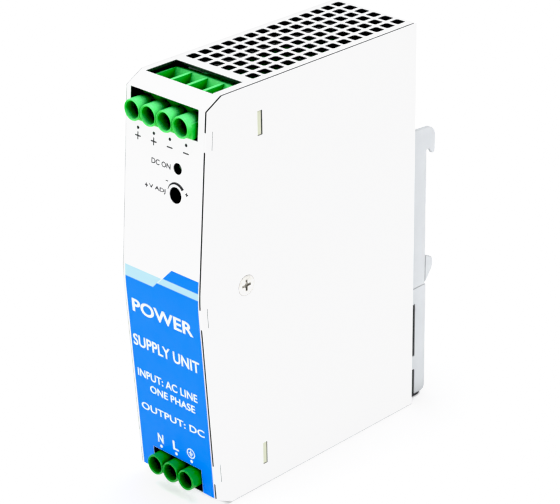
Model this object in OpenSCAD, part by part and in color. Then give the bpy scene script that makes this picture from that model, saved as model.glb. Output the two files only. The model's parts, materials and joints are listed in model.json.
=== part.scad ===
// DIN rail power supply: a slim sheet-steel case with screw terminals at the
// top and bottom of its front, and a spring-loaded rail clip on its back.
// Millimetres. +Z up, the front faces -Y, the origin is under the middle of
// the whole object. Inside the modules, y is counted from the front bulge.

/* [Case] */
// Width across the two side panels
case_w = 32; // [32:0.5:34]
// Height of the case
case_h = 125.2; // [125.2:0.1:128]
// Depth from the front bulge to the back wall
case_d = 88; // [88:0.5:92]
// Thickness of the sheet steel
sheet = 1; // [0.9:0.1:1]
// Height of the bend in the front
bend_z = 66; // [64:0.5:68]
// Radius of the bend in the front
bend_r = 60; // [40:5:80]
// Thickness of the side panel's lip beside the cover's edge
lip = 0.3; // [0.3:0.1:0.5]
// Gap between the cover and the right side panel
seam_right = 0.6; // [0.3:0.1:0.6]
// Gap between the cover and the left side panel
seam_left = 0.15; // [0.1:0.05:0.3]

/* [Vents] */
// Side of one square vent hole
vent = 3.5; // [2.6:0.1:3.6]
// Distance between vent holes across the case
vent_pitch_x = 4.64; // [4.4:0.01:4.7]
// Distance between vent holes along the case
vent_pitch_y = 4.53; // [4.4:0.01:4.55]
// Corner cut of a vent hole
vent_corner = 0.35; // [0.2:0.05:0.5]
// Middle of the vent field across the case
vent_x = -0.5; // [-0.6:0.1:0.4]

/* [Terminals] */
// Distance between neighbouring poles
pole_pitch = 6.35; // [6.35:0.05:6.5]
// Outer radius of a wire collar
collar_r = 3.15; // [3.1:0.01:3.15]
// Radius of the wire entry
entry_r = 2.6; // [2.4:0.1:2.6]
// Number of turns from open to closed
clamp_turns = 3.6; // [3:0.1:3.6]
// Height of the output wire axis
output_z = 116.65; // [116.6:0.05:116.7]
// Height of the input wire axis
input_z = 7.3; // [7.2:0.1:7.4]
// Middle of the output poles
output_x = -1.2; // [-1.3:0.1:-1.1]

/* [Rail clip] */
// Width across the cheeks of the clip
clip_w = 27; // [26.6:0.2:27.4]
// Thickness of the clip's steel
clip_t = 1.2; // [1:0.1:1.2]
// Height of the rail that the clip grips
rail_h = 35; // [35:0.1:35.2]
// Height of the rail's middle above the base
rail_z = 65; // [64.5:0.5:65.5]
// Play left between the rail and the latch
rail_play = 0.3; // [0.1:0.1:0.5]
// How far the latch is pulled to let the rail go
latch_travel = 5; // [4:0.5:5]

/* [Controls] */
// Radius of the hole over the status lamp
lamp_hole_r = 1.65; // [1.5:0.05:1.8]
// Radius of the hole over the voltage trimmer
trim_hole_r = 2.35; // [2:0.05:2.4]

/* [Hidden] */
$fn = 48;
thin = 0.01;
far = 200;
inner_x = case_w/2 - sheet;
edge_x = case_w/2 - lip;
fit_gap = 0.05;

// rail clip, counted from the case's back wall
seat_y = case_d + 8.4;
hook_tip_y = seat_y + 2.4;
hook_out_y = seat_y + 3.8;
overall_d = hook_out_y;
hook_z = rail_z + rail_h/2 + rail_play/2;
barb_z = rail_z - rail_h/2 - rail_play/2;
cheek_x = clip_w/2;
cheek_low = 38;
clip_top = 89.8;
web_low = 14;
slide_t = 2.4;
slide_y = case_d + clip_t + 0.25;
slide_low = 0.2;
slide_top = 32;
seat_low = 24.8;
seat_high = 26;
spring_r = 2;
spring_wire = 0.5;
spring_y = case_d + 4.6;
shelf_z = 41;

// outline of the case seen from its side, as [y, z]
front_lean = 4.7;
front_tuck = 3.5;
base_fold = [9.8, 0];
base_edge = [3.8, 3.3];
top_edge = [4.5, case_h - 3.1];
top_fold = [10.2, case_h];
bend_steps = 10;
bend_arc = [for (i = [0:bend_steps])
    let (a = front_lean - (front_lean + front_tuck)*i/bend_steps)
    [bend_r*(1 - cos(a)), bend_z + bend_r*sin(a)]];
case_outline = concat([base_fold, [case_d, 0], [case_d, case_h], top_fold, top_edge],
    bend_arc, [base_edge]);

// places of the openings and fixings
top_open = [[-13.6, 9.9], [12.6, 21.2]];
output_open = [[-14, 113.2], [12.7, case_h - 3.1]];
base_open = [[-9.9, 9.5], [10.1, 21.2]];
input_open = [[-9.9, 3.4], [10.1, 11]];
vent_cols = 6;
vent_rows = 14;
vent_y0 = 26.4;
tongue_z = [[8.4, 14.4], [59.1, 65.2], [110.9, 116.3]];
tongue_in = [3.4, 3.4, 0.8];
tongue_gap = 0.15;
tongue_depth = 2*sheet + 0.4;
joggle_back = 2.1;
joggle_cut = [0.12, 0.25];
case_screw = [17.5, 66.8];
csk_r = 3.1;
csk_gap = 0.12;
screw_r = 1.5;
flange_z = [60.5, 73];
flange_back = 22.5;
output_slot = [[22.95, 109.9], [24.85, 117.1]];
input_slot = [[22.65, 6.9], [24.35, 14]];
lamp = [5.27, 103.46];
lamp_leg = 0.9;
trimmer = [4.72, 95.7];

// terminal blocks: z is counted from the wire axis, towards the screw
output_front = 1.5;
input_front = 0.3;
block_y = 8;
block_low = -5;
output_top = 6.35;
input_top = 5.6;
// front and top of the ledge under the collars, as [y, z]
output_chin = [3, 1.4];
input_chin = [5.2, -0.4];
block_cut = 1;
cell_x = 2.7;
cage_y = [10.45, 16.35];
cage_x = 2.45;
cage_z = [-3.6, 1.4];
window_x = 1.65;
window_z = [-2.7, 0.4];
bar_t = 0.6;
bar_x = 1.5;
pin_x = 0.6;
thread_pitch = 0.5;
clamp_travel = clamp_turns*thread_pitch;
clamp_y = (cage_y[0] + cage_y[1])/2;
head_r = 2;
head_z = [3.3, 4.5];
well_z = head_z[0] - fit_gap;
output_poles = 4;
input_poles = 3;
output_back = 22.7;
input_back = 22.4;

// boards
board_t = 1.5;
main_x = -12.4;
main_t = 1.6;
main_y = [26, 85];
main_z = [6, 119];
part_x = main_x + main_t;
standoffs = [[30, 12], [81, 12], [30, 113], [81, 113]];
standoff_r = 2.6;

white = "#f2f3f5";
terminal_green = "#00a038";
board_green = "#2f6b3a";
black = "#202124";

function unit(v) = v/norm(v);
function left_of(v) = [-v.y, v.x];
function inset(p, t) = [for (i = [0:len(p) - 1])
    let (
        a = p[(i + len(p) - 1) % len(p)],
        c = p[(i + 1) % len(p)],
        n1 = left_of(unit(p[i] - a)),
        n2 = left_of(unit(c - p[i]))
    )
    p[i] + t*(n1 + n2)/(1 + n1*n2)];

// moves a piece from case coordinates to the object's own origin
module placed() {
    translate([0, -overall_d/2, 0]) children();
}

module box(low, high) {
    translate(low) cube(high - low);
}

module rod_x(r, x0, x1, y, z) {
    translate([x0, y, z]) rotate([0, 90, 0]) cylinder(r = r, h = x1 - x0);
}

module rod_y(r, y0, y1, x, z) {
    translate([x, y0, z]) rotate([-90, 0, 0]) cylinder(r = r, h = y1 - y0);
}

module rod_z(r, z0, z1, x, y) {
    translate([x, y, z0]) cylinder(r = r, h = z1 - z0);
}

// a [y, z] outline made solid from x0 to x1
module slab_x(outline, x0, x1) {
    translate([x0, 0, 0]) rotate([90, 0, 90]) linear_extrude(x1 - x0) polygon(outline);
}

// a layer of the case's skin, from depth a to depth b under its outer face
module skin(a, b, x0, x1) {
    difference() {
        slab_x(inset(case_outline, a), x0, x1);
        slab_x(inset(case_outline, b), x0 - 1, x1 + 1);
    }
}

module mirrored_x() {
    children();
    mirror([1, 0, 0]) children();
}

// cross recess cut into a head whose top is at height 0
module cross_recess(span, width, depth) {
    for (turn = [0, 90])
        rotate([0, 0, turn])
            translate([-span/2, -width/2, -depth]) cube([span, width, depth + 1]);
}

// ---- case -----------------------------------------------------------------

// bridges the seam, and reaches in behind the cover
module tongue(z, reach, seam) {
    intersection() {
        union() {
            skin(0, sheet, edge_x - seam + fit_gap, edge_x + thin);
            skin(sheet + fit_gap, 2*sheet, inner_x - reach, inner_x + thin);
        }
        box([0, -1, z[0]], [case_w, 12, z[1]]);
    }
}

// ledge in the panel's front, top and base, which the cover's edge lies on
module panel_ledge() {
    difference() {
        skin(-1, sheet + fit_gap, inner_x - thin, edge_x);
        box([0, case_d - 2*sheet, sheet + fit_gap], [far, far, case_h - sheet - fit_gap]);
    }
}

module side_panel(seam) {
    for (i = [0:2]) tongue(tongue_z[i], tongue_in[i], seam);
    difference() {
        slab_x(case_outline, inner_x, case_w/2);
        panel_ledge();
        translate([case_w/2, case_screw[0], case_screw[1]]) rotate([0, -90, 0])
            translate([0, 0, -thin])
                cylinder(r1 = csk_r + csk_gap, r2 = csk_r - sheet + csk_gap, h = sheet + 2*thin);
        box([0, output_slot[0][0], output_slot[0][1]], [far, output_slot[1][0], output_slot[1][1]]);
        box([0, input_slot[0][0], input_slot[0][1]], [far, input_slot[1][0], input_slot[1][1]]);
        for (z = tongue_z)
            intersection() {
                box([0, 0, z[0]], [far, 14, z[1]]);
                skin(joggle_back, joggle_back + joggle_cut[1], case_w/2 - joggle_cut[0], case_w/2 + 1);
            }
    }
}

module rivet_places() {
    for (x = [-8, 8], z = [54, 78])
        translate([x, case_d, z]) children();
}

module chassis() {
    color(white) placed() difference() {
        union() {
            side_panel(seam_right);
            mirror([1, 0, 0]) side_panel(seam_left);
            box([-inner_x - thin, case_d - sheet, sheet + fit_gap],
                [inner_x + thin, case_d, case_h - sheet - fit_gap]);
        }
        rivet_places() rod_y(1.25, -far, far, 0, 0);
        for (p = standoffs) rod_x(1.6, -far, 0, p[0], p[1]);
    }
}

module vent_hole() {
    s = vent/2;
    c = vent_corner;
    translate([0, 0, -far/2]) linear_extrude(2*far)
        polygon([[c - s, -s], [s - c, -s], [s, c - s], [s, s - c],
            [s - c, s], [c - s, s], [-s, s - c], [-s, c - s]]);
}

module vent_grid() {
    for (i = [0:vent_cols - 1], j = [0:vent_rows - 1])
        translate([vent_x + (i - (vent_cols - 1)/2)*vent_pitch_x, vent_y0 + j*vent_pitch_y, 0]) vent_hole();
}

module screw_flange() {
    difference() {
        intersection() {
            box([inner_x - sheet - 0.1, 0, flange_z[0]], [inner_x - 0.1, flange_back, flange_z[1]]);
            slab_x(inset(case_outline, sheet/2), 0, far);
        }
        // room for the middle tongue
        box([0, -1, 0], [far, tongue_depth, tongue_z[1][1] + tongue_gap]);
        translate([inner_x, case_screw[0], case_screw[1]]) rotate([0, -90, 0])
            cylinder(r1 = csk_r - sheet + csk_gap, r2 = screw_r + csk_gap, h = csk_r - sheet - screw_r);
        rod_x(screw_r + fit_gap, 0, far, case_screw[0], case_screw[1]);
    }
}

module front_cover() {
    color(white) placed() difference() {
        union() {
            skin(0, sheet, seam_left - edge_x, edge_x - seam_right);
            mirrored_x() screw_flange();
        }
        // the back stays open between the top and base sheets
        box([-far, case_d - sheet - fit_gap, sheet], [far, far, case_h - sheet]);
        vent_grid();
        box([top_open[0][0], top_open[0][1], case_h - 2*sheet], [top_open[1][0], top_open[1][1], far]);
        box([base_open[0][0], base_open[0][1], -1], [base_open[1][0], base_open[1][1], 2*sheet]);
        box([output_open[0][0], -1, output_open[0][1]], [output_open[1][0], top_open[0][1], output_open[1][1]]);
        box([input_open[0][0], -1, input_open[0][1]], [input_open[1][0], base_open[0][1], input_open[1][1]]);
        rod_y(lamp_hole_r, -1, 8, lamp[0], lamp[1]);
        rod_y(trim_hole_r, -1, 8, trimmer[0], trimmer[1]);
    }
}

module case_screw() {
    head_h = csk_r - screw_r;
    translate([case_w/2 - 0.05, case_screw[0], case_screw[1]]) rotate([0, 90, 0]) difference() {
        union() {
            translate([0, 0, -head_h]) cylinder(r1 = screw_r, r2 = csk_r - 0.05, h = head_h);
            translate([0, 0, -6.5]) cylinder(r = screw_r, h = 6.5);
        }
        cross_recess(3.4, 0.75, 1.3);
        cylinder(r = 0.75, h = 2.4, center = true);
    }
}

module case_screws() {
    color("silver") placed() mirrored_x() case_screw();
}

module clinch_nut() {
    nut_x = inner_x - sheet - 0.1;
    difference() {
        rod_x(2.7, nut_x - 2, nut_x, case_screw[0], case_screw[1]);
        rod_x(screw_r + fit_gap, 0, far, case_screw[0], case_screw[1]);
    }
}

module clinch_nuts() {
    color("silver") placed() mirrored_x() clinch_nut();
}

// ---- boards ---------------------------------------------------------------

module insulating_sheet() {
    sheet_x = -inner_x + 0.4;
    color("#e8e4d0") placed() difference() {
        box([sheet_x, 25.5, 4.5], [sheet_x + 0.4, case_d - 2, 121]);
        for (p = standoffs) rod_x(standoff_r + 0.2, -far, 0, p[0], p[1]);
    }
}

module main_board() {
    color(board_green) placed() difference() {
        box([main_x, main_y[0], main_z[0]], [part_x, main_y[1], main_z[1]]);
        for (p = standoffs) rod_x(1.6, -far, 0, p[0], p[1]);
    }
}

module terminal_board(slot, z, poles, pole_x, pole_z) {
    tab_x = case_w/2 - 0.15;
    tab_gap = 0.15;
    y0 = slot[0][0];
    difference() {
        union() {
            box([-inner_x + 0.4, y0, z[0]], [inner_x - 0.4, y0 + board_t, z[1]]);
            box([-tab_x, y0, slot[0][1] + tab_gap], [tab_x, y0 + board_t, slot[1][1] - tab_gap]);
        }
        for (i = [0:poles - 1])
            rod_y(0.8, 0, far, pole_at(i, poles, pole_x), pole_z);
    }
}

module output_board() {
    color(board_green) placed() difference() {
        terminal_board(output_slot, [86, 121.5], output_poles, output_x, output_z);
        for (s = [-lamp_leg, lamp_leg]) rod_y(0.35, 0, far, lamp[0] + s, lamp[1]);
    }
}

module input_board() {
    color(board_green) placed()
        terminal_board(input_slot, [3, 40], input_poles, 0, input_z);
}

module board_standoffs() {
    color("gold") placed() for (p = standoffs) difference() {
        union() {
            rod_x(1.6, -case_w/2, main_x, p[0], p[1]);
            rod_x(standoff_r, -inner_x, main_x, p[0], p[1]);
        }
        rod_x(1.3, -case_w/2 - 1, 0, p[0], p[1]);
    }
}

module board_screws() {
    color("silver") placed() for (p = standoffs)
        translate([part_x, p[0], p[1]]) rotate([0, 90, 0]) difference() {
            union() {
                cylinder(r = 2.5, h = 1.6);
                translate([0, 0, -4.4]) cylinder(r = 1.25, h = 4.4);
            }
            translate([0, 0, 1.6]) cross_recess(2.6, 0.6, 0.9);
        }
}

// ---- terminal blocks ------------------------------------------------------

function pole_at(i, poles, middle) = middle + (i - (poles - 1)/2)*pole_pitch;

// puts a block with its wire axis at height z and its screws facing up or down
module block_at(z, up) {
    translate([0, 0, z]) mirror([0, 0, up ? 0 : 1]) children();
}

module terminal_housing(poles, middle, front, back, top, chin) {
    half = poles*pole_pitch/2 + 0.2;
    difference() {
        union() {
            slab_x([[block_y, block_low], [back, block_low], [back, top], [block_y + block_cut, top],
                [block_y, top - block_cut]], middle - half, middle + half);
            box([middle - half + 0.25, chin[0], -collar_r + 0.1], [middle + half - 0.25, block_y + 1, chin[1]]);
            for (i = [0:poles - 1]) {
                x = pole_at(i, poles, middle);
                rod_y(collar_r, front + 0.35, block_y + 1, x, 0);
                rod_y(collar_r - 0.12, front, block_y, x, 0);
            }
        }
        for (i = [0:poles - 1]) {
            x = pole_at(i, poles, middle);
            rod_y(entry_r, front - 1, cage_y[0], x, 0);
            rod_y(entry_r + 0.22, front - 1, front + 0.3, x, 0);
            box([x - cell_x, cage_y[0] - 0.15, cage_z[0] - fit_gap],
                [x + cell_x, cage_y[1] + 0.25, well_z + thin]);
            slab_x([[10.9, well_z], [19.6, well_z], [21, top], [21, top + 1], [10.9, top + 1]],
                x - cell_x, x + cell_x);
            box([x - bar_x, clamp_y, -bar_t/2], [x + bar_x, back + 1, bar_t/2]);
        }
    }
}

module output_terminal() {
    color(terminal_green) placed() block_at(output_z, true)
        terminal_housing(output_poles, output_x, output_front, output_back, output_top, output_chin);
}

module input_terminal() {
    color(terminal_green) placed() block_at(input_z, false)
        terminal_housing(input_poles, 0, input_front, input_back, input_top, input_chin);
}

module contact_bar(x, back) {
    box([x - bar_x, cage_y[0] + 0.35, -bar_t/2], [x + bar_x, back, bar_t/2]);
    box([x - pin_x, back - 1, -bar_t/2], [x + pin_x, back + 2.9, bar_t/2]);
}

module output_contacts() {
    color("silver") placed() block_at(output_z, true) for (i = [0:output_poles - 1])
        contact_bar(pole_at(i, output_poles, output_x), output_back);
}

module input_contacts() {
    color("silver") placed() block_at(input_z, false) for (i = [0:input_poles - 1])
        contact_bar(pole_at(i, input_poles, 0), input_back);
}

module clamp_screw(x) {
    difference() {
        union() {
            rod_z(screw_r, bar_t/2 + fit_gap, head_z[1] - 0.5, x, clamp_y);
            rod_z(head_r, head_z[0], head_z[1] - 0.2, x, clamp_y);
            translate([x, clamp_y, head_z[1] - 0.2]) cylinder(r1 = head_r, r2 = head_r - 0.2, h = 0.2);
        }
        translate([x, clamp_y, head_z[1]]) cross_recess(2.6, 0.6, 0.8);
    }
}

module output_screw(i) {
    color("silver") placed() block_at(output_z, true)
        clamp_screw(pole_at(i - 1, output_poles, output_x));
}

module input_screw(i) {
    color("silver") placed() block_at(input_z, false)
        clamp_screw(pole_at(i - 1, input_poles, 0));
}

module clamp_cage(x) {
    difference() {
        box([x - cage_x, cage_y[0], cage_z[0]], [x + cage_x, cage_y[1], cage_z[1]]);
        box([x - window_x, cage_y[0] - 1, window_z[0]], [x + window_x, cage_y[1] + 1, window_z[1]]);
        rod_z(screw_r + fit_gap, 0, 3, x, clamp_y);
    }
}

module output_cage(i) {
    color("#c9b26a") placed() block_at(output_z, true)
        clamp_cage(pole_at(i - 1, output_poles, output_x));
}

module input_cage(i) {
    color("#c9b26a") placed() block_at(input_z, false)
        clamp_cage(pole_at(i - 1, input_poles, 0));
}

// ---- controls on the output board -----------------------------------------

trim_face = 4.9;
trim_case = [12, output_slot[0][0]];

module trimmer_body() {
    s = 3.4;
    color("#2b5fb0") placed() difference() {
        box([trimmer[0] - s, trim_case[0], trimmer[1] - s], [trimmer[0] + s, trim_case[1], trimmer[1] + s]);
        rod_y(1.9, trim_case[0] - 1, trim_case[1] - 2, trimmer[0], trimmer[1]);
    }
}

module trimmer_rotor() {
    color(black) placed() difference() {
        union() {
            rod_y(1.6, trim_face, trim_case[1] - 2.3, trimmer[0], trimmer[1]);
            rod_y(1.85, trim_case[0] + 1, trim_case[0] + 4, trimmer[0], trimmer[1]);
        }
        box([trimmer[0] - 0.3, trim_face - 1, trimmer[1] - 3], [trimmer[0] + 0.3, trim_face + 0.9, trimmer[1] + 3]);
    }
}

lamp_y = [3.9, 9.2];

module status_lamp() {
    color("#2f7a44") placed() {
        rod_y(1.45, lamp_y[0] + 1.45, lamp_y[1], lamp[0], lamp[1]);
        translate([lamp[0], lamp_y[0] + 1.45, lamp[1]]) sphere(r = 1.45);
        rod_y(1.75, lamp_y[1] - 1, lamp_y[1], lamp[0], lamp[1]);
        for (s = [-lamp_leg, lamp_leg]) rod_y(0.25, lamp_y[1] - 0.5, output_slot[1][0] + 1.5, lamp[0] + s, lamp[1]);
    }
}

module lamp_spacer() {
    color(black) placed() difference() {
        rod_y(1.9, lamp_y[1], output_slot[0][0], lamp[0], lamp[1]);
        for (s = [-lamp_leg, lamp_leg]) rod_y(0.3, 0, far, lamp[0] + s, lamp[1]);
    }
}

// ---- parts on the main board ----------------------------------------------

// [y, z] and sizes of the parts that stand on the board
wound_core = [[35, 47], [61, 72]];
wound_x = 2.2;
core_x = 6;
yoke = 3.5;
centre_leg = 8;
wall = 0.8;
coil_y = 9.3;
coil_x = 11.2;
choke = [38, 22];
choke_r = [4.5, 9];
choke_x = [-8, 4];
choke_wire = 1.2;
filter_cap = [[52, 8], [70, 23]];
bulk = [74, 52, 88];
bulk_r = 9;
output_caps = [[34, 84], [46, 84], [58, 84]];
output_cap_r = 5;
plate_t = 2;
hot_plate = [[38, 39], [64, 41]];
cool_plate = [[62, 92], [64, 116]];
plate_x = 12;
tab_body = [10, 4.5, 15.5];
tab_hole = 12.5;
disc_leg = 0.3;
fuse_y = 74.5;

module transformer_core() {
    y = (wound_core[0][0] + wound_core[1][0])/2;
    low = [wound_x - core_x, wound_core[0][0], wound_core[0][1]];
    high = [wound_x + core_x, wound_core[1][0], wound_core[1][1]];
    color("#3a3b3e") placed() difference() {
        box(low, high);
        for (side = [-1, 1])
            translate([0, y + side*(centre_leg/2 + (high.y - low.y)/2 - yoke)/2, 0])
                box([low.x - 1, -((high.y - low.y)/2 - yoke - centre_leg/2)/2, low.z + yoke],
                    [high.x + 1, ((high.y - low.y)/2 - yoke - centre_leg/2)/2, high.z - yoke]);
    }
}

// a square tube round the core's centre leg, from radius a to radius b
module leg_sleeve(ay, ax, by, bx, z0, z1) {
    y = (wound_core[0][0] + wound_core[1][0])/2;
    difference() {
        box([wound_x - bx, y - by, z0], [wound_x + bx, y + by, z1]);
        box([wound_x - ax, y - ay, z0 - 1], [wound_x + ax, y + ay, z1 + 1]);
    }
}

bobbin_y = centre_leg/2 + 0.1;
bobbin_x = core_x + 0.1;
bobbin_z = [wound_core[0][1] + yoke + 0.1, wound_core[1][1] - yoke - 0.1];

module transformer_bobbin() {
    color(black) placed() {
        leg_sleeve(bobbin_y, bobbin_x, bobbin_y + wall, bobbin_x + wall, bobbin_z[0], bobbin_z[1]);
        leg_sleeve(bobbin_y, bobbin_x, coil_y, coil_x, bobbin_z[0], bobbin_z[0] + wall);
        leg_sleeve(bobbin_y, bobbin_x, coil_y, coil_x, bobbin_z[1] - wall, bobbin_z[1]);
    }
}

module transformer_winding() {
    color("#d8b13a") placed()
        leg_sleeve(bobbin_y + wall, bobbin_x + wall, coil_y - 0.2, coil_x - 0.2,
            bobbin_z[0] + wall, bobbin_z[1] - wall);
}

module choke_core() {
    color("#4d6b4a") placed() translate([choke_x[0], choke[0], choke[1]]) rotate([0, 90, 0]) difference() {
        cylinder(r = choke_r[1], h = choke_x[1] - choke_x[0]);
        translate([0, 0, -1]) cylinder(r = choke_r[0], h = far);
    }
}

// two separate windings, each a sleeve over part of the ring
module choke_winding() {
    w = choke_wire;
    h = choke_x[1] - choke_x[0];
    color("#b5622a") placed() translate([choke_x[0], choke[0], choke[1]]) rotate([0, 90, 0])
        for (start = [20, 200]) rotate([0, 0, start]) rotate_extrude(angle = 140) difference() {
            translate([choke_r[0] - w, -w]) square([choke_r[1] - choke_r[0] + 2*w, h + 2*w]);
            translate([choke_r[0] - fit_gap, -fit_gap])
                square([choke_r[1] - choke_r[0] + 2*fit_gap, h + 2*fit_gap]);
        }
}

module mains_filter_capacitor() {
    color("#e2c21f") placed() box([part_x, filter_cap[0][0], filter_cap[0][1]],
        [part_x + 10, filter_cap[1][0], filter_cap[1][1]]);
}

// a disc part standing edge-on to the board on two legs
module disc_part(r, t, y, z) {
    rod_y(r, y, y + t, part_x + 1 + r, z);
    for (s = [-1, 1]) rod_x(disc_leg, part_x, part_x + 1 + r, y + t/2, z + s*r/2);
}

module safety_capacitors() {
    color("#2d7fc4") placed() for (z = [57, 67]) disc_part(4, 3, 30, z);
}

module varistor() {
    color("#2d6ea8") placed() disc_part(5.5, 4, 66, 34);
}

module inrush_thermistor() {
    color("#3b4a3c") placed() disc_part(4.5, 4, 74, 38);
}

module fuse() {
    color("#d9d2c0") placed() {
        rod_z(2.5, 9, 27, part_x + 3.2, fuse_y);
        for (z = [8, 24]) rod_z(2.9, z, z + 4, part_x + 3.2, fuse_y);
        for (z = [10, 26]) rod_x(0.35, part_x, part_x + 2, fuse_y, z);
    }
}

module bridge_rectifier() {
    color(black) placed() {
        box([part_x + 3, 80, 30], [part_x + 18, 83.5, 50]);
        for (z = [32.5, 37.5, 42.5, 47.5]) box([part_x, 81.3, z - 0.5], [part_x + 4, 82.1, z + 0.5]);
    }
}

module bulk_capacitor() {
    x = part_x + bulk_r + 0.3;
    color("#1d2c4f") placed() {
        rod_z(bulk_r, bulk[1], bulk[2] - 4, x, bulk[0]);
        rod_z(bulk_r - 0.5, bulk[2] - 4.5, bulk[2] - 3, x, bulk[0]);
        rod_z(bulk_r, bulk[2] - 3.4, bulk[2], x, bulk[0]);
    }
}

// a power transistor or diode: body, metal tab with its hole, three legs
module power_part() {
    difference() {
        union() {
            cube([tab_body.x, tab_body.y, 9]);
            cube([tab_body.x, 1.3, tab_body.z]);
        }
        translate([tab_body.x/2, -1, tab_hole]) rotate([-90, 0, 0]) cylinder(r = 1.7, h = far);
    }
}

module switch_transistor() {
    color(black) placed() translate([-5, 44, hot_plate[0][1]]) rotate([-90, 0, 0]) power_part();
}

module output_rectifier() {
    color(black) placed() translate([5, cool_plate[0][0], 95]) rotate([0, 0, 180]) power_part();
}

module primary_heatsink() {
    color("#b9bdc2") placed() difference() {
        box([part_x, hot_plate[0][0], hot_plate[0][1]], [plate_x, hot_plate[1][0], hot_plate[1][1]]);
        rod_z(1.25, 0, far, 0, 44 + tab_hole);
    }
}

module secondary_heatsink() {
    color("#b9bdc2") placed() difference() {
        box([part_x, cool_plate[0][0], cool_plate[0][1]], [plate_x, cool_plate[1][0], cool_plate[1][1]]);
        rod_y(1.25, 0, far, 0, 95 + tab_hole);
    }
}

module heatsink_screw() {
    rod_z(2.6, -1.3 - 1.8, -1.3, 0, 0);
    rod_z(1.25, -1.4, 3.5, 0, 0);
}

module heatsink_screws() {
    color("silver") placed() {
        translate([0, 44 + tab_hole, hot_plate[0][1]]) heatsink_screw();
        translate([0, cool_plate[0][0], 95 + tab_hole]) rotate([-90, 0, 0]) heatsink_screw();
    }
}

module output_capacitors() {
    color("#3a2f5f") placed() for (p = output_caps) {
        rod_x(output_cap_r, part_x, part_x + 2, p[0], p[1]);
        rod_x(output_cap_r - 0.35, part_x + 1.9, part_x + 3.2, p[0], p[1]);
        rod_x(output_cap_r, part_x + 3, part_x + 20, p[0], p[1]);
    }
}

module output_inductor() {
    color("#b5622a") placed() {
        rod_x(7.5, part_x, part_x + 1.5, 72, 100);
        rod_x(6.6, part_x + 1.4, part_x + 12, 72, 100);
        rod_x(7.5, part_x + 11.9, part_x + 13.5, 72, 100);
    }
}

// a small black package with legs along two sides
module chip(size, y, z, legs) {
    box([part_x + 0.4, y, z], [part_x + size.x, y + size.y, z + size.z]);
    for (i = [0:legs - 1], side = [0, 1]) {
        leg_y = side == 0 ? y - 0.8 : y + size.y - 0.2;
        leg_z = z + size.z*(i + 0.5)/legs;
        box([part_x, leg_y, leg_z - 0.3], [part_x + 1.4, leg_y + 1, leg_z + 0.3]);
    }
}

module optocoupler() {
    color(black) placed() chip([3.6, 4.6, 6.5], 28.5, 71.6, 2);
}

module control_chip() {
    color(black) placed() chip([3.4, 6.4, 9.4], 28, 38, 4);
}

// ---- rail clip ------------------------------------------------------------

hook_r = 3.6;
hook_turn = [seat_y + 0.2, clip_top - hook_r];
hook_steps = 8;
cheek_outline = concat(
    [[case_d, cheek_low], [seat_y, cheek_low], [seat_y, hook_z], [seat_y + 1.1, hook_z],
        [hook_tip_y, hook_z - 2], [hook_out_y - 0.3, hook_z - 1.8], [hook_out_y, hook_z - 0.8]],
    [for (i = [0:hook_steps])
        let (a = 90*i/hook_steps) hook_turn + hook_r*[cos(a), sin(a)]],
    [[case_d, clip_top + 0.6]]);
tab_half = 4;
ear_half = 6.5;

module rail_bracket() {
    color("#dfe2e8") placed() difference() {
        union() {
            box([-cheek_x, case_d, web_low], [cheek_x, case_d + clip_t, clip_top - 4]);
            mirrored_x() slab_x(cheek_outline, cheek_x - clip_t, cheek_x);
            // seat for the spring, with ears that keep the slide against the web
            box([-tab_half, case_d, seat_low], [tab_half, spring_y + spring_r, seat_high]);
            box([-ear_half, slide_y + slide_t + 0.25, seat_low],
                [ear_half, slide_y + slide_t + 0.25 + clip_t, seat_high]);
        }
        rivet_places() rod_y(1.25, -1, 5, 0, 0);
    }
}

module bracket_rivets() {
    color("silver") placed() rivet_places() {
        rod_y(1.2, -1.5, clip_t + 0.5, 0, 0);
        rod_y(2.2, clip_t, clip_t + 1, 0, 0);
        rod_y(1.9, -sheet - 0.8, -sheet, 0, 0);
    }
}

arm_x = [cheek_x - clip_t - 1.4, cheek_x - clip_t - 0.3];
shell_y = slide_y + slide_t + 0.1;
shell_top = cheek_low - 0.15;
shell_back = seat_y + 0.4;
key_z = [10, 14.6];
arm_outline = [[shell_y + 0.3, 22], [seat_y - 0.8, 22], [seat_y - 0.8, 37], [seat_y + 0.4, 39.2],
    [seat_y + 2.8, 42.4], [seat_y + 2.8, 43.2], [seat_y - 1, barb_z - 0.5], [shell_y + 0.3, barb_z - 0.5]];
bridge_outline = [[seat_y + 0.15, 39.2], [seat_y + 0.5, 39.4], [seat_y + 2.7, 42.4], [seat_y + 2.7, 43],
    [seat_y + 0.15, 43.6]];
barb_outline = [[seat_y + 0.15, 38.6], [seat_y + 0.45, 38.9], [seat_y + 2.9, 42.2], [seat_y + 3.3, 43.2],
    [seat_y + 3.3, barb_z - 2.2], [seat_y + 2.9, barb_z - 1.1], [seat_y + 2.4, barb_z - 0.7],
    [seat_y + 1.7, barb_z - 0.9], [seat_y + 1.15, barb_z - 0.1], [seat_y + 0.15, barb_z]];
shell_outline = [[shell_y, 1.2], [seat_y - 0.9, 1.2], [seat_y, 1.7], [shell_back, 2.7],
    [shell_back, shell_top], [slide_y, shell_top], [slide_y, slide_top + 0.6], [shell_y, slide_top + 0.6]];

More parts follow.
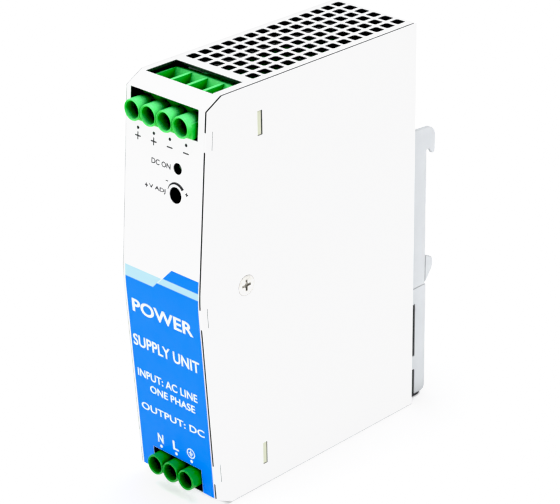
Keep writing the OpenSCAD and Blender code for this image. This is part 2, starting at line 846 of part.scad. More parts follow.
module rail_latch() {
    color("#d9dde4") placed() {
        mirrored_x() {
            slab_x(arm_outline, arm_x[0], arm_x[1]);
            // barb behind each cheek of the bracket, bridged to the arm inside it
            slab_x(bridge_outline, arm_x[1] - thin, cheek_x - clip_t + thin);
            slab_x(barb_outline, cheek_x - clip_t, cheek_x);
            slab_x(shell_outline, cheek_x - clip_t, cheek_x);
            // key that joins the shell to the slide
            box([cheek_x - clip_t, slide_y + 0.1, key_z[0]], [cheek_x, shell_y + thin, key_z[1]]);
        }
        intersection() {
            slab_x(shell_outline, -cheek_x, cheek_x);
            box([-cheek_x, seat_y - 1, 0], [cheek_x, shell_back, shell_top]);
        }
        box([-arm_x[1], slide_y + 1.6, shelf_z], [arm_x[1], spring_y + spring_r + 0.4, shelf_z + clip_t]);
    }
}

module latch_slide() {
    slide_x = cheek_x - 0.2;
    foot = [[slide_y, slide_low], [slide_y + 4.6, slide_low], [slide_y + 5.3, 0.6], [slide_y + 5.3, 1.05],
        [slide_y, 1.05]];
    color(black) placed() difference() {
        union() {
            box([-slide_x, slide_y, slide_low], [slide_x, slide_y + slide_t, slide_top]);
            slab_x(foot, -slide_x, slide_x);
        }
        box([-tab_half - 0.3, 0, seat_low - 0.2], [tab_half + 0.3, far, far]);
        mirrored_x() box([cheek_x - clip_t - 0.1, 0, key_z[0] - 0.05], [far, far, key_z[1] + 0.05]);
    }
}

spring_turns = 7;
ring_steps = 20;
wire_sides = 8;
coil_z = [seat_high + spring_wire/2 + 0.02, shelf_z - spring_wire/2 - 0.02];
coil_rings = spring_turns*ring_steps;

function coil_point(i, k) =
    let (
        a = 360*i/ring_steps,
        b = 360*k/wire_sides,
        r = spring_r + spring_wire/2*cos(b)
    )
    [r*cos(a), spring_y + r*sin(a), coil_z[0] + (coil_z[1] - coil_z[0])*i/coil_rings + spring_wire/2*sin(b)];

module latch_spring() {
    n = wire_sides;
    color("silver") placed() polyhedron(
        points = [for (i = [0:coil_rings], k = [0:n - 1]) coil_point(i, k)],
        faces = concat(
            [[for (k = [0:n - 1]) k]],
            [for (i = [0:coil_rings - 1], k = [0:n - 1])
                [i*n + k, (i + 1)*n + k, (i + 1)*n + (k + 1) % n, i*n + (k + 1) % n]],
            [[for (k = [n - 1:-1:0]) coil_rings*n + k]]));
}

chassis();
front_cover();
case_screws();
clinch_nuts();
insulating_sheet();
main_board();
output_board();
input_board();
board_standoffs();
board_screws();
output_terminal();
input_terminal();
output_contacts();
input_contacts();
output_screw(1);  // output_screw_1
output_screw(2);  // output_screw_2
output_screw(3);  // output_screw_3
output_screw(4);  // output_screw_4
input_screw(1);  // input_screw_1
input_screw(2);  // input_screw_2
input_screw(3);  // input_screw_3
output_cage(1);  // output_cage_1
output_cage(2);  // output_cage_2
output_cage(3);  // output_cage_3
output_cage(4);  // output_cage_4
input_cage(1);  // input_cage_1
input_cage(2);  // input_cage_2
input_cage(3);  // input_cage_3
trimmer_body();
trimmer_rotor();
status_lamp();
lamp_spacer();
transformer_core();
transformer_bobbin();
transformer_winding();
choke_core();
choke_winding();
mains_filter_capacitor();
safety_capacitors();
fuse();
varistor();
inrush_thermistor();
bridge_rectifier();
bulk_capacitor();
switch_transistor();
primary_heatsink();
output_rectifier();
secondary_heatsink();
output_capacitors();
output_inductor();
optocoupler();
control_chip();
heatsink_screws();
rail_bracket();
bracket_rivets();
rail_latch();
latch_slide();
latch_spring();
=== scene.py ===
import json
import math

import bmesh
import bpy
from mathutils import Matrix, Vector


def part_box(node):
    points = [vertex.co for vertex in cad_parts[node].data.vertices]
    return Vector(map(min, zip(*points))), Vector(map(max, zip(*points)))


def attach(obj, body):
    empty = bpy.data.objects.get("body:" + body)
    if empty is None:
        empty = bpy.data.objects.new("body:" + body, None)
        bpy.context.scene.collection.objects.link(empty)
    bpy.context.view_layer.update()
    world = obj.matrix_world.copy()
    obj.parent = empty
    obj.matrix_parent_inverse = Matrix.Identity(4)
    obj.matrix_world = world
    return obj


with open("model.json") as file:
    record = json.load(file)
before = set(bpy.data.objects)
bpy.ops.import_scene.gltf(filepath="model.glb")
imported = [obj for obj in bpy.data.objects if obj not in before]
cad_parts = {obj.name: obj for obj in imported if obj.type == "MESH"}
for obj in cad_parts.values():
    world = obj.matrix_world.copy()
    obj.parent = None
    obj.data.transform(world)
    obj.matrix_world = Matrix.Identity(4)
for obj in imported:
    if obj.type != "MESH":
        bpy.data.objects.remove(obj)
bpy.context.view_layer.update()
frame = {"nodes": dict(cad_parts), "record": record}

MM = 0.001
nodes = frame["nodes"]
scene = bpy.context.scene


# ---- places read from the frame ---------------------------------------------------------

def box_mm(node):
    """Lowest and highest corner of a CAD node, in millimetres."""
    low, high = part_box(node)
    return low / MM, high / MM


def middle(node):
    low, high = box_mm(node)
    return (low + high) / 2


def front_profile():
    """[z, y] corners of the case's front, from the base to the top, off the cover's own mesh."""
    corners = sorted({(round(v.co.z / MM, 3), round(v.co.y / MM, 3))
                      for v in nodes["front_cover"].data.vertices})
    chain = []
    for c in corners:
        while len(chain) > 1:
            (z0, y0), (z1, y1) = chain[-2:]
            if (z1 - z0) * (c[1] - y0) - (y1 - y0) * (c[0] - z0) > 1e-6:
                break
            chain.pop()
        chain.append(c)
    return chain


PROFILE = front_profile()
COVER_LOW, COVER_HIGH = box_mm("front_cover")
CASE_LOW, CASE_HIGH = box_mm("chassis")
OUTPUT_POLES = [middle(f"output_screw_{i}").x for i in (1, 2, 3, 4)]
INPUT_POLES = [middle(f"input_screw_{i}").x for i in (1, 2, 3)]
LAMP = middle("status_lamp")
TRIMMER = middle("trimmer_rotor")


# left edge, right edge and top of the cover's opening round the input terminal, rounding included
INPUT_OPENING = (-10.0, 10.2, 11.1)


def front_y(z):
    """Depth of the front's outer face at height z."""
    for (z0, y0), (z1, y1) in zip(PROFILE, PROFILE[1:]):
        if z <= z1:
            return y0 + (y1 - y0) * (z - z0) / (z1 - z0)
    return PROFILE[-1][1]


# ---- camera ------------------------------------------------------------------------------

TARGET = Vector((-2.993, -0.1, 59.623)) * MM
AZIMUTH, ELEVATION, ROLL = 44.734, 25.374, -0.902
DISTANCE = 644.241 * MM
LENS, SENSOR = 140.757, 36.0


def make_camera():
    azimuth, elevation, roll = map(math.radians, (AZIMUTH, ELEVATION, ROLL))
    back = Vector((math.sin(azimuth) * math.cos(elevation),
                   -math.cos(azimuth) * math.cos(elevation), math.sin(elevation)))
    right = (-back).cross(Vector((0, 0, 1))).normalized()
    up = right.cross(-back)
    x = right * math.cos(roll) + up * math.sin(roll)
    y = up * math.cos(roll) - right * math.sin(roll)
    data = bpy.data.cameras.new("camera")
    data.lens = LENS
    data.sensor_width = SENSOR
    data.clip_start = 0.01
    data.clip_end = 50
    camera = bpy.data.objects.new("camera", data)
    scene.collection.objects.link(camera)
    turn = Matrix((x, y, back)).transposed().to_4x4()
    camera.matrix_world = Matrix.Translation(TARGET + back * DISTANCE) @ turn
    scene.camera = camera


# ---- light and floor ---------------------------------------------------------------------

WORLD_LIGHT = 0.52
FLOOR_SIZE = 12.0
FLOOR_GLOW = 0.22
FLOOR_DROP = 0.05
# darkest and brightest light the picture holds, and points (light / WHITE_LIGHT, shade) between
BLACK_LIGHT, WHITE_LIGHT = 0.02, 1.6
TONES = ((0.3, 0.48), (0.57, 0.925), (0.75, 0.965), (0.83, 1.0))


def area_light(name, place, aim, size, power):
    data = bpy.data.lights.new(name, "AREA")
    data.shape = "RECTANGLE"
    data.size, data.size_y = size
    data.energy = power
    lamp = bpy.data.objects.new(name, data)
    scene.collection.objects.link(lamp)
    lamp.location = place
    lamp.rotation_mode = "QUATERNION"
    lamp.rotation_quaternion = (Vector(aim) - Vector(place)).to_track_quat("-Z", "Y")


def set_tones():
    """Bright whites keep a little tone, as in a light studio picture."""
    view = scene.view_settings
    view.view_transform = "Standard"
    view.use_curve_mapping = True
    mapping = view.curve_mapping
    mapping.black_level = (BLACK_LIGHT,) * 3
    mapping.white_level = (WHITE_LIGHT,) * 3
    curve = mapping.curves[3]
    for light, shade in TONES:
        curve.points.new(light, shade)
    for point in curve.points:
        point.handle_type = "VECTOR"
    mapping.update()


def make_studio():
    world = bpy.data.worlds.new("studio")
    world.use_nodes = True
    background = world.node_tree.nodes["Background"]
    background.inputs["Color"].default_value = (1, 1, 1, 1)
    background.inputs["Strength"].default_value = WORLD_LIGHT
    scene.world = world
    centre = (0, 0, 0.06)
    area_light("top_light", (-0.1, 0.1, 0.95), centre, (1.3, 1.3), 9.5)
    area_light("front_light", (-0.4, -0.95, 0.35), centre, (0.7, 0.7), 3.2)
    area_light("side_light", (0.95, -0.1, 0.4), centre, (0.6, 0.6), 2.4)
    area_light("low_light", (-0.75, -0.7, 0.06), (-0.02, -0.08, 0.01), (0.5, 0.1), 1.2)
    set_tones()

    mesh = bpy.data.meshes.new("floor")
    half = FLOOR_SIZE / 2
    mesh.from_pydata([(-half, -half, 0), (half, -half, 0), (half, half, 0), (-half, half, 0)],
                     [], [(0, 1, 2, 3)])
    floor = bpy.data.objects.new("floor", mesh)
    scene.collection.objects.link(floor)
    floor.location.z = -FLOOR_DROP * MM
    paint = Shader("floor", (0.955, 0.955, 0.96), 0.6, specular=0.2)
    paint.vary_roughness(40, 0.55, 0.65)
    paint.bsdf.inputs["Emission Color"].default_value = (1, 1, 1, 1)
    paint.bsdf.inputs["Emission Strength"].default_value = FLOOR_GLOW
    mesh.materials.append(paint.material)


# ---- materials ---------------------------------------------------------------------------

COAT_SKIN = 0.1     # powder coat reaches this far in from the case's outer faces
COAT_FRONT = 12     # faces that look forward are coated this far back from the front


class Shader:
    """One procedural material. Sizes of grain are in millimetres."""

    def __init__(self, name, colour, roughness, metallic=0.0, specular=0.5):
        self.material = bpy.data.materials.new(name)
        self.material.use_nodes = True
        self.tree = self.material.node_tree
        self.bsdf = self.tree.nodes["Principled BSDF"]
        self.bsdf.inputs["Base Color"].default_value = (*colour, 1)
        self.bsdf.inputs["Roughness"].default_value = roughness
        self.bsdf.inputs["Metallic"].default_value = metallic
        self.bsdf.inputs["Specular IOR Level"].default_value = specular
        self.colour = None
        self.start = colour
        self.normal = None
        self.place = self.node("ShaderNodeTexCoord").outputs["Object"]
        self.geometry = self.node("ShaderNodeNewGeometry")

    def node(self, kind, **settings):
        made = self.tree.nodes.new(kind)
        for name, value in settings.items():
            setattr(made, name, value)
        return made

    def link(self, source, socket):
        self.tree.links.new(source, socket)

    def feed(self, socket, value):
        """A socket gets a number or colour, or the output of another node."""
        if isinstance(value, bpy.types.NodeSocket):
            self.link(value, socket)
        elif hasattr(value, "__len__"):
            socket.default_value = (*value, 1)[:len(socket.default_value)]
        else:
            socket.default_value = value

    def math(self, operation, a, b=0.0):
        made = self.node("ShaderNodeMath", operation=operation)
        self.feed(made.inputs[0], a)
        self.feed(made.inputs[1], b)
        return made.outputs[0]

    def noise(self, size, detail=3.0, stretch=(1, 1, 1)):
        """Noise from 0 to 1 whose blobs are about size millimetres across."""
        mapping = self.node("ShaderNodeMapping")
        self.link(self.place, mapping.inputs["Vector"])
        mapping.inputs["Scale"].default_value = stretch
        made = self.node("ShaderNodeTexNoise")
        self.link(mapping.outputs[0], made.inputs["Vector"])
        made.inputs["Scale"].default_value = 1 / (size * MM)
        made.inputs["Detail"].default_value = detail
        return made.outputs["Fac"]

    def remap(self, value, low, high, to_low=0.0, to_high=1.0):
        made = self.node("ShaderNodeMapRange")
        for socket, v in zip(made.inputs, (value, low, high, to_low, to_high)):
            self.feed(socket, v)
        return made.outputs[0]

    def mix(self, factor, a, b):
        made = self.node("ShaderNodeMix", data_type="RGBA")
        self.feed(made.inputs["Factor"], factor)
        self.feed(made.inputs[6], a)
        self.feed(made.inputs[7], b)
        return made.outputs[2]

    def tint(self, factor, colour):
        """Mixes a colour in, over what the base colour is so far."""
        self.colour = self.mix(factor, self.colour or self.start, colour)
        self.link(self.colour, self.bsdf.inputs["Base Color"])

    def vary_colour(self, size, colour, amount, detail=3.0, stretch=(1, 1, 1)):
        self.tint(self.remap(self.noise(size, detail, stretch), 0.35, 0.7, 0.0, amount), colour)

    def vary_roughness(self, size, low, high, stretch=(1, 1, 1)):
        value = self.remap(self.noise(size, 4.0, stretch), 0.3, 0.7, low, high)
        self.link(value, self.bsdf.inputs["Roughness"])

    def bump(self, size, depth, detail=2.0, stretch=(1, 1, 1), height=None):
        """Adds fine relief of about depth millimetres."""
        made = self.node("ShaderNodeBump")
        made.inputs["Distance"].default_value = depth * MM
        self.link(height or self.noise(size, detail, stretch), made.inputs["Height"])
        if self.normal:
            self.link(self.normal, made.inputs["Normal"])
        self.normal = made.outputs[0]
        self.link(self.normal, self.bsdf.inputs["Normal"])

    def edge(self, radius, low=0.02, high=0.25):
        """1 near a sharp edge, 0 on flat ground, broken up as real wear is."""
        bevel = self.node("ShaderNodeBevel", samples=4)
        bevel.inputs["Radius"].default_value = radius * MM
        dot = self.node("ShaderNodeVectorMath", operation="DOT_PRODUCT")
        self.link(bevel.outputs[0], dot.inputs[0])
        self.link(self.geometry.outputs["Normal"], dot.inputs[1])
        bent = self.remap(self.math("SUBTRACT", 1.0, dot.outputs["Value"]), low, high)
        return self.math("MULTIPLY", bent, self.remap(self.noise(1.5, 4.0), 0.35, 0.6, 0.3, 1.0))

    def hollow(self, reach, start=0.55, full=0.12):
        """1 deep in a hole or corner narrower than reach millimetres, 0 in the open: the mask for
        painted shade.
        """
        shade = self.node("ShaderNodeAmbientOcclusion", samples=8)
        shade.inputs["Distance"].default_value = reach * MM
        return self.remap(shade.outputs["AO"], start, full)

    def axis(self, source, index):
        split = self.node("ShaderNodeSeparateXYZ")
        self.link(source, split.inputs[0])
        return split.outputs[index]


def coated_sheet(name, colour, steel):
    """Satin powder coat outside the case; near-black painted shade inside it and on cut edges, and
    painted shade in its seams.
    """
    s = Shader(name, colour, 0.42)
    s.vary_colour(26, [0.975 * c for c in colour], 0.6)
    s.vary_colour(1.2, [0.96 * c for c in colour], 0.35, 5.0)
    s.tint(s.math("MULTIPLY", s.edge(0.35), 0.5), (0.70, 0.71, 0.73))
    s.vary_roughness(5, 0.36, 0.5)
    s.bump(1.1, 0.014)
    s.bump(0.3, 0.004)
    x = s.math("ABSOLUTE", s.axis(s.place, 0))
    y = s.axis(s.place, 1)
    z = s.axis(s.place, 2)
    skin = COAT_SKIN * MM
    outside = s.math("GREATER_THAN", x, CASE_HIGH.x * MM - skin)
    outside = s.math("MAXIMUM", outside, s.math("GREATER_THAN", z, CASE_HIGH.z * MM - skin))
    outside = s.math("MAXIMUM", outside, s.math("LESS_THAN", z, skin))
    outside = s.math("MAXIMUM", outside, s.math("GREATER_THAN", y, CASE_HIGH.y * MM - skin))
    facing = s.math("LESS_THAN", s.axis(s.geometry.outputs["True Normal"], 1), -0.3)
    near = s.math("LESS_THAN", y, (CASE_LOW.y + COAT_FRONT) * MM)
    outside = s.math("MAXIMUM", outside, s.math("MULTIPLY", facing, near))
    # painted shade: the near-black steel colour stands for shade on the inside and on cut edges
    s.tint(s.math("SUBTRACT", 1.0, outside), steel)
    # painted shade in narrow seams and gaps, stronger towards the right side
    right = s.remap(s.axis(s.place, 0), -2 * MM, 2 * MM, 0.2, 1.0)
    s.tint(s.math("MULTIPLY", s.hollow(1.3, 0.6, 0.35), right), [0.3 * c for c in steel])
    return s.material


def plastic(name, colour, light, roughness=0.35, grain=0.5, depth=0.004, edge=0.35, painted_light=0.0):
    """Moulded plastic: flow marks, fine grain, painted light on tops that face up (more of it
    higher up the case), painted shade lower down and deep in its holes, and paler edges, part
    rubbed wear and part painted highlight.
    """
    s = Shader(name, colour, roughness, specular=0.3)
    s.vary_colour(6, light, 0.12)
    # painted light: faces that look up are tinted lighter, more so higher up the case
    up = s.remap(s.axis(s.geometry.outputs["Normal"], 2), -0.1, 0.6, 0.04 * painted_light, painted_light)
    top = CASE_HIGH.z * MM
    high = s.remap(s.axis(s.place, 2), 0.15 * top, 0.85 * top)
    low = s.math("SUBTRACT", 1.0, high)
    # painted shade: darker towards the bottom of the case
    s.tint(s.math("MULTIPLY", low, painted_light), [0.5 * c for c in colour])
    s.tint(s.math("MULTIPLY", up, s.remap(high, 0.0, 1.0, 0.05, 1.0)), light)
    # painted shade: near black deep in holes and narrow wells
    s.tint(s.math("MULTIPLY", s.hollow(6, 0.52, 0.3), 0.97), [0.04 * c for c in colour])
    s.vary_colour(0.5, [0.7 * c for c in colour], 0.25, 5.0)
    # paler edges: part rubbed wear, part painted highlight
    s.tint(s.math("MULTIPLY", s.edge(0.3), edge), light)
    s.vary_roughness(3, roughness - 0.07, roughness + 0.1)
    s.bump(grain, depth)
    return s.material


def metal(name, colour, dark, roughness=0.28, stretch=(1, 1, 1), grain=0.6):
    """Plated or bare metal with fine drawn lines, stains and brighter edges."""
    s = Shader(name, colour, roughness, metallic=1.0)
    s.vary_colour(3, dark, 0.5)
    s.tint(s.math("MULTIPLY", s.edge(0.15), 0.6), [min(1.0, 1.15 * c) for c in colour])
    s.vary_roughness(grain, roughness - 0.08, roughness + 0.16, stretch)
    s.bump(grain / 2, 0.002, 3.0, stretch)
    return s.material


def clip_coat(name):
    """Thin zinc and lacquer on pressed steel, a little uneven and rubbed at the edges, with painted
    shade in its hollows.
    """
    s = Shader(name, (0.60, 0.62, 0.64), 0.4, metallic=0.15)
    s.vary_colour(14, (0.55, 0.57, 0.59), 0.7)
    s.vary_colour(0.8, (0.57, 0.59, 0.61), 0.35, 5.0)
    s.tint(s.math("MULTIPLY", s.edge(0.25), 0.5), (0.86, 0.88, 0.90))
    # painted shade: darker in hollows and corners, near the case
    s.tint(s.math("MULTIPLY", s.hollow(6, 0.95, 0.5), 0.45), (0.22, 0.23, 0.24))
    s.vary_roughness(2.5, 0.3, 0.48)
    s.bump(0.7, 0.006, 3.0, (1, 1, 0.25))
    return s.material


def circuit_board(name):
    """Green solder mask with buried tracks, and bare tan glass fibre on the side tabs."""
    s = Shader(name, (0.03, 0.17, 0.06), 0.32)
    s.vary_colour(2.2, (0.06, 0.27, 0.10), 0.9, 0.0, (1, 1, 0.2))
    _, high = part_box("output_board")
    side = s.math("ABSOLUTE", s.axis(s.place, 0))
    tab = s.math("GREATER_THAN", side, high.x - 1.5 * MM)
    s.tint(tab, (0.60, 0.62, 0.48))
    s.vary_roughness(1.5, 0.28, 0.5)
    s.bump(0.35, 0.01, 3.0)
    return s.material


def winding(name, colour, dark, pitch, axis):
    """Round wire laid turn beside turn along an axis."""
    s = Shader(name, colour, 0.25, metallic=0.6)
    wave = s.node("ShaderNodeTexWave", wave_type="BANDS", bands_direction=axis, wave_profile="SIN")
    s.link(s.place, wave.inputs["Vector"])
    wave.inputs["Scale"].default_value = 1 / (pitch * MM) / 3.2
    wave.inputs["Distortion"].default_value = 0.4
    # painted shade: darker copper in the grooves between turns
    s.tint(s.remap(wave.outputs["Fac"], 0.4, 0.0), dark)
    s.vary_colour(4, dark, 0.3)
    s.vary_roughness(2, 0.2, 0.4)
    s.bump(1, 0.25, height=wave.outputs["Fac"])
    return s.material


def ink(name, colour, pale):
    """Screen-printed ink: slightly uneven cover over the powder coat's own relief."""
    s = Shader(name, colour, 0.4, specular=0.12)
    s.vary_colour(16, pale, 0.10)
    s.vary_colour(0.35, pale, 0.06, 5.0)
    s.vary_roughness(4, 0.34, 0.5)
    s.bump(1.1, 0.012)
    s.bump(0.2, 0.002)
    return s.material


def lens(name):
    """Tinted, unlit lamp lens."""
    s = Shader(name, (0.008, 0.03, 0.012), 0.2, specular=0.3)
    s.bsdf.inputs["Transmission Weight"].default_value = 0.35
    s.bsdf.inputs["IOR"].default_value = 1.5
    s.vary_colour(1.5, (0.012, 0.06, 0.02), 0.5)
    s.vary_roughness(1, 0.08, 0.2)
    s.bump(0.4, 0.002)
    return s.material


def shell_of(name, colour, light, roughness, size):
    """Dipped resin, sleeves and ceramics: smooth, with soft mottling."""
    s = Shader(name, colour, roughness)
    s.vary_colour(size, light, 0.5, 4.0)
    s.tint(s.math("MULTIPLY", s.edge(0.3), 0.3), light)
    s.vary_roughness(size, roughness - 0.06, roughness + 0.12)
    s.bump(size / 3, 0.02, 3.0)
    return s.material


def make_materials():
    green = (0.001, 0.56, 0.01)
    return {
        # the case's last colour is near-black painted shade for its inside
        "case": coated_sheet("case", (0.86, 0.862, 0.87), (0.03, 0.03, 0.032)),
        # the green plastic gets strong painted light on its tops and painted shade lower down
        "terminal_green": plastic("terminal_green", green, (0.16, 1.0, 0.30), 0.3, 0.45, 0.003,
                                  painted_light=0.95),
        "steel": metal("steel", (0.74, 0.73, 0.70), (0.50, 0.49, 0.46)),
        "brass": metal("brass", (0.78, 0.62, 0.30), (0.55, 0.40, 0.18)),
        "clip": clip_coat("clip"),
        "black_plastic": plastic("black_plastic", (0.012, 0.012, 0.014), (0.05, 0.05, 0.055), 0.45),
        "board": circuit_board("board"),
        "film": shell_of("film", (0.32, 0.32, 0.33), (0.42, 0.42, 0.43), 0.45, 5),
        "aluminium": metal("aluminium", (0.80, 0.81, 0.83), (0.62, 0.63, 0.65), 0.34, (1, 1, 0.08)),
        "ferrite": shell_of("ferrite", (0.045, 0.047, 0.05), (0.09, 0.09, 0.10), 0.55, 1.2),
        "copper_wire": winding("copper_wire", (0.62, 0.23, 0.07), (0.14, 0.04, 0.015), 0.8, "Z"),
        "tape": shell_of("tape", (0.72, 0.49, 0.06), (0.84, 0.66, 0.16), 0.3, 5),
        "blue_part": shell_of("blue_part", (0.02, 0.14, 0.36), (0.06, 0.24, 0.50), 0.25, 2.5),
        "yellow_part": shell_of("yellow_part", (0.76, 0.56, 0.03), (0.86, 0.70, 0.12), 0.35, 4),
        "capacitor_sleeve": shell_of("capacitor_sleeve", (0.02, 0.025, 0.07), (0.06, 0.07, 0.14),
                                     0.25, 6),
        "ceramic": shell_of("ceramic", (0.74, 0.70, 0.60), (0.84, 0.81, 0.72), 0.5, 2),
        "lamp": lens("lamp"),
        "trimmer_blue": plastic("trimmer_blue", (0.01, 0.07, 0.32), (0.05, 0.17, 0.48), 0.3),
        "print_azure": ink("print_azure", (0.0, 0.19, 0.88), (0.004, 0.225, 0.90)),
        "print_pale": ink("print_pale", (0.39, 0.60, 0.80), (0.47, 0.68, 0.84)),
        "print_black": ink("print_black", (0.012, 0.012, 0.014), (0.04, 0.04, 0.045)),
        "print_white": ink("print_white", (0.86, 0.94, 0.97), (0.92, 0.97, 0.99)),
    }


def dress_nodes(made):
    """Gives each CAD node its material, and soft edges where it shows."""
    for part in frame["record"]["subparts"]:
        data = nodes[part["node"]].data
        data.materials.clear()
        data.materials.append(made[part["material_slot"]])
    widths = {"front_cover": 0.18, "chassis": 0.18, "output_terminal": 0.14, "input_terminal": 0.14,
              "rail_bracket": 0.2, "rail_latch": 0.2, "latch_slide": 0.15, "case_screws": 0.06,
              "trimmer_rotor": 0.1, "trimmer_body": 0.15, "output_board": 0.06, "input_board": 0.06,
              "bracket_rivets": 0.2}
    for name, width in widths.items():
        soften(nodes[name], width)


def soften(piece, width):
    """Rounds sharp edges by width millimetres and shades the flats flat."""
    weld = piece.modifiers.new("weld", "WELD")
    weld.merge_threshold = 0.003 * MM
    bevel = piece.modifiers.new("bevel", "BEVEL")
    bevel.width = width * MM
    bevel.segments = 2
    bevel.limit_method = "ANGLE"
    bevel.angle_limit = math.radians(22)
    bevel.miter_outer = "MITER_ARC"
    bevel.face_strength_mode = "FSTR_ALL"
    shade = piece.modifiers.new("shade", "WEIGHTED_NORMAL")
    shade.weight = 100
    shade.use_face_influence = True


# ---- print on the front ------------------------------------------------------------------

FILM = 0.03     # how far a layer of ink stands off what it is printed on
SINK = 0.01     # how far its back lies inside it


def lay_on_front(mesh, lift):
    """Bends a flat x-z drawing, in millimetres, onto the front and makes it a thin closed solid."""
    for z, _ in PROFILE:
        bmesh.ops.bisect_plane(mesh, geom=mesh.verts[:] + mesh.edges[:] + mesh.faces[:], dist=1e-5,
                               plane_co=(0, 0, z), plane_no=(0, 0, 1))
    for v in mesh.verts:
        v.co.y = front_y(v.co.z) - lift
    bmesh.ops.recalc_face_normals(mesh, faces=mesh.faces)
    for face in mesh.faces:
        if face.normal.y > 0:
            face.normal_flip()
    back = bmesh.ops.extrude_face_region(mesh, geom=mesh.faces[:])
    moved = [g for g in back["geom"] if isinstance(g, bmesh.types.BMVert)]
    bmesh.ops.translate(mesh, verts=moved, vec=(0, FILM + SINK, 0))
    bmesh.ops.recalc_face_normals(mesh, faces=mesh.faces)
    bmesh.ops.scale(mesh, verts=mesh.verts, vec=(MM, MM, MM))


def film_piece(name, mesh, slot, lift):
    lay_on_front(mesh, lift)
    data = bpy.data.meshes.new(name)
    mesh.to_mesh(data)
    mesh.free()
    data.materials.append(MATERIALS[slot])
    piece = bpy.data.objects.new(name, data)
    scene.collection.objects.link(piece)
    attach(piece, "case")
    return piece


def film(name, outlines, slot, lift=FILM):
    """One or more x-z polygons printed on the front as one piece."""
    mesh = bmesh.new()
    for outline in outlines:
        mesh.faces.new([mesh.verts.new((x, 0, z)) for x, z in outline])
    return film_piece(name, mesh, slot, lift)


def disc(x, z, radius, sides=28):
    angles = [math.tau * k / sides for k in range(sides)]
    return [(x + radius * math.cos(a), z + radius * math.sin(a)) for a in angles]


def bar(x, z, width, height):
    return [(x - width / 2, z - height / 2), (x + width / 2, z - height / 2),
            (x + width / 2, z + height / 2), (x - width / 2, z + height / 2)]


def plus(x, z, size, stroke):
    """One outline of a cross, counted round its twelve corners."""
    a, b = size / 2, stroke / 2
    corners = [(a, b), (b, b), (b, a), (-b, a), (-b, b), (-a, b)]
    corners += [(-cx, -cz) for cx, cz in corners]
    return [(x + cx, z + cz) for cx, cz in corners]


def arc(x, z, inner, outer, start, end, steps=18):
    """A band round (x, z) from start to end degrees. Its radii are pairs, (first, last)."""
    def edge(radii, order):
        for k in order:
            t = k / steps
            a = math.radians(start + (end - start) * t)
            r = radii[0] + (radii[1] - radii[0]) * t
            yield x + r * math.cos(a), z + r * math.sin(a)
    return [*edge(outer, range(steps + 1)), *edge(inner, range(steps, -1, -1))]


def ring(x, z, inner, outer):
    return [arc(x, z, (inner, inner), (outer, outer), a, a + 90, 8) for a in (0, 90, 180, 270)]


def lettering(name, words, slot, low, high, weight=0.0, lift=2 * FILM):
    """Generic words from the built-in font, fitted to the x-z box from low to high."""
    curve = bpy.data.curves.new(name, "FONT")
    curve.body = words
    curve.resolution_u = 4
    curve.offset = weight
    text = bpy.data.objects.new(name, curve)
    scene.collection.objects.link(text)
    bpy.context.view_layer.update()
    flat = text.to_mesh()
    mesh = bmesh.new()
    mesh.from_mesh(flat)
    text.to_mesh_clear()
    bpy.data.objects.remove(text)
    bmesh.ops.remove_doubles(mesh, verts=mesh.verts, dist=1e-4)
    xs = [v.co.x for v in mesh.verts]
    ys = [v.co.y for v in mesh.verts]
    wide = (high[0] - low[0]) / (max(xs) - min(xs))
    tall = (high[1] - low[1]) / (max(ys) - min(ys))
    for v in mesh.verts:
        v.co = Vector((low[0] + (v.co.x - min(xs)) * wide, 0, low[1] + (v.co.y - min(ys)) * tall))
    return film_piece(name, mesh, slot, lift)


def print_colour_fields():
    """Blue field with a pale band, cut by one diagonal, and open round the input terminal."""
    left = COVER_LOW.x + 0.6
    right = COVER_HIGH.x - 0.3
    foot = PROFILE[1][0]
    open_left, open_right, open_top = INPUT_OPENING
    band_low, band_high = 66.2, 69.8
    strip_low, strip_high = 67.9, 69.95
    block_top = 73.5

    def diagonal(z):
        return -3.45 + (z - band_low) * 0.98

    film("print_field", [[(left, foot), (open_left, foot), (open_left, open_top),
                          (open_right, open_top), (open_right, foot), (right, foot),
                          (right, strip_low), (diagonal(strip_low), strip_low),
                          (diagonal(band_low), band_low), (left, band_low)]], "print_azure")
    film("print_band", [[(left, band_low), (diagonal(band_low), band_low),
                         (diagonal(band_high), band_high), (left, band_high)]], "print_pale")
    film("print_strip", [[(diagonal(strip_low) + 0.25, strip_low), (right, strip_low),
                          (right, strip_high), (diagonal(strip_high) + 0.25, strip_high)]],
         "print_pale")
    film("print_block", [[(diagonal(strip_high) + 0.3, strip_high), (right, strip_high),
                          (right, block_top), (diagonal(block_top) + 0.3, block_top)]],
         "print_azure")


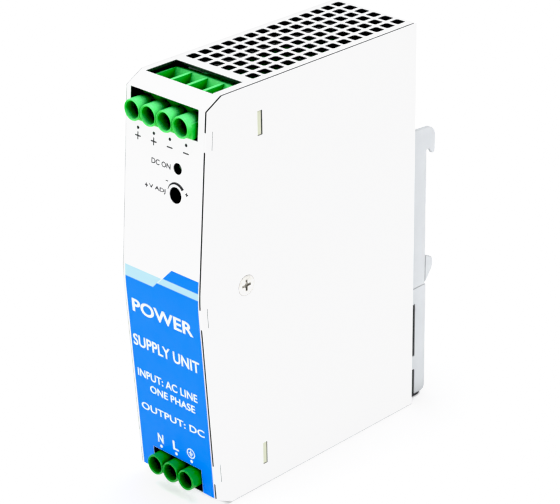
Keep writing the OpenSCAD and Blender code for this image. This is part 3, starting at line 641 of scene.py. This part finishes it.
def print_marks():
    dot_z, sign_z = 111.0, 108.7
    stroke = 0.42
    for i, x in enumerate(OUTPUT_POLES, 1):
        film(f"mark_output_dot_{i}", [disc(x, dot_z, 0.5)], "print_black")
        shape = plus(x, sign_z, 2.3, stroke) if i < 3 else bar(x, sign_z, 2.3, stroke)
        film(f"mark_output_sign_{i}", [shape], "print_black")
    x, z = LAMP.x, LAMP.z
    lettering("mark_lamp", "DC ON", "print_black", (x - 10.35, z - 1.05), (x - 2.75, z + 0.6),
              0.022, FILM)
    x, z = TRIMMER.x, TRIMMER.z
    lettering("mark_trimmer", "V ADJ", "print_black", (x - 10.6, z - 0.95), (x - 3.9, z + 0.65),
              0.022, FILM)
    film("mark_trimmer_plus", [plus(x - 11.6, z - 0.2, 1.3, 0.35)], "print_black")
    film("mark_trimmer_arc", [arc(x, z, (3.1, 3.05), (3.3, 4.15), 162, 38)], "print_black")
    film("mark_trimmer_less", [bar(x - 3.45, z + 3.3, 1.1, 0.32)], "print_black")
    film("mark_trimmer_more", [plus(x + 4.4, z + 1.4, 1.2, 0.34)], "print_black")


def print_words():
    lettering("word_1", "POWER", "print_white", (-13.0, 55.4), (11.9, 59.6), 0.02)
    lettering("word_2", "SUPPLY UNIT", "print_white", (-14.0, 44.1), (13.2, 47.8), 0.015)
    lettering("word_3", "INPUT: AC LINE", "print_white", (-13.5, 33.9), (11.2, 36.5), 0.01)
    lettering("word_4", "ONE PHASE", "print_white", (-8.8, 29.9), (9.8, 32.3), 0.01)
    lettering("word_5", "OUTPUT: DC", "print_white", (-13.3, 22.9), (12.9, 25.2), 0.01)
    dot_z, sign_z = 12.4, 15.1
    for i, x in enumerate(INPUT_POLES, 1):
        film(f"mark_input_dot_{i}", [disc(x, dot_z, 0.5)], "print_white", 2 * FILM)
    for word, x in zip("NL", INPUT_POLES):
        lettering(f"mark_input_{word}", word, "print_white", (x - 1.15, sign_z - 1.5),
                  (x + 1.15, sign_z + 1.5), 0.02)
    x = INPUT_POLES[2]
    earth = ring(x, sign_z, 1.35, 1.62)
    earth += [bar(x, sign_z + 0.55, 0.26, 0.95), bar(x, sign_z + 0.08, 1.7, 0.24),
              bar(x, sign_z - 0.36, 1.15, 0.24), bar(x, sign_z - 0.78, 0.6, 0.24)]
    film("mark_input_earth", earth, "print_white", 2 * FILM)


make_camera()
make_studio()
MATERIALS = make_materials()
dress_nodes(MATERIALS)
print_colour_fields()
print_marks()
print_words()
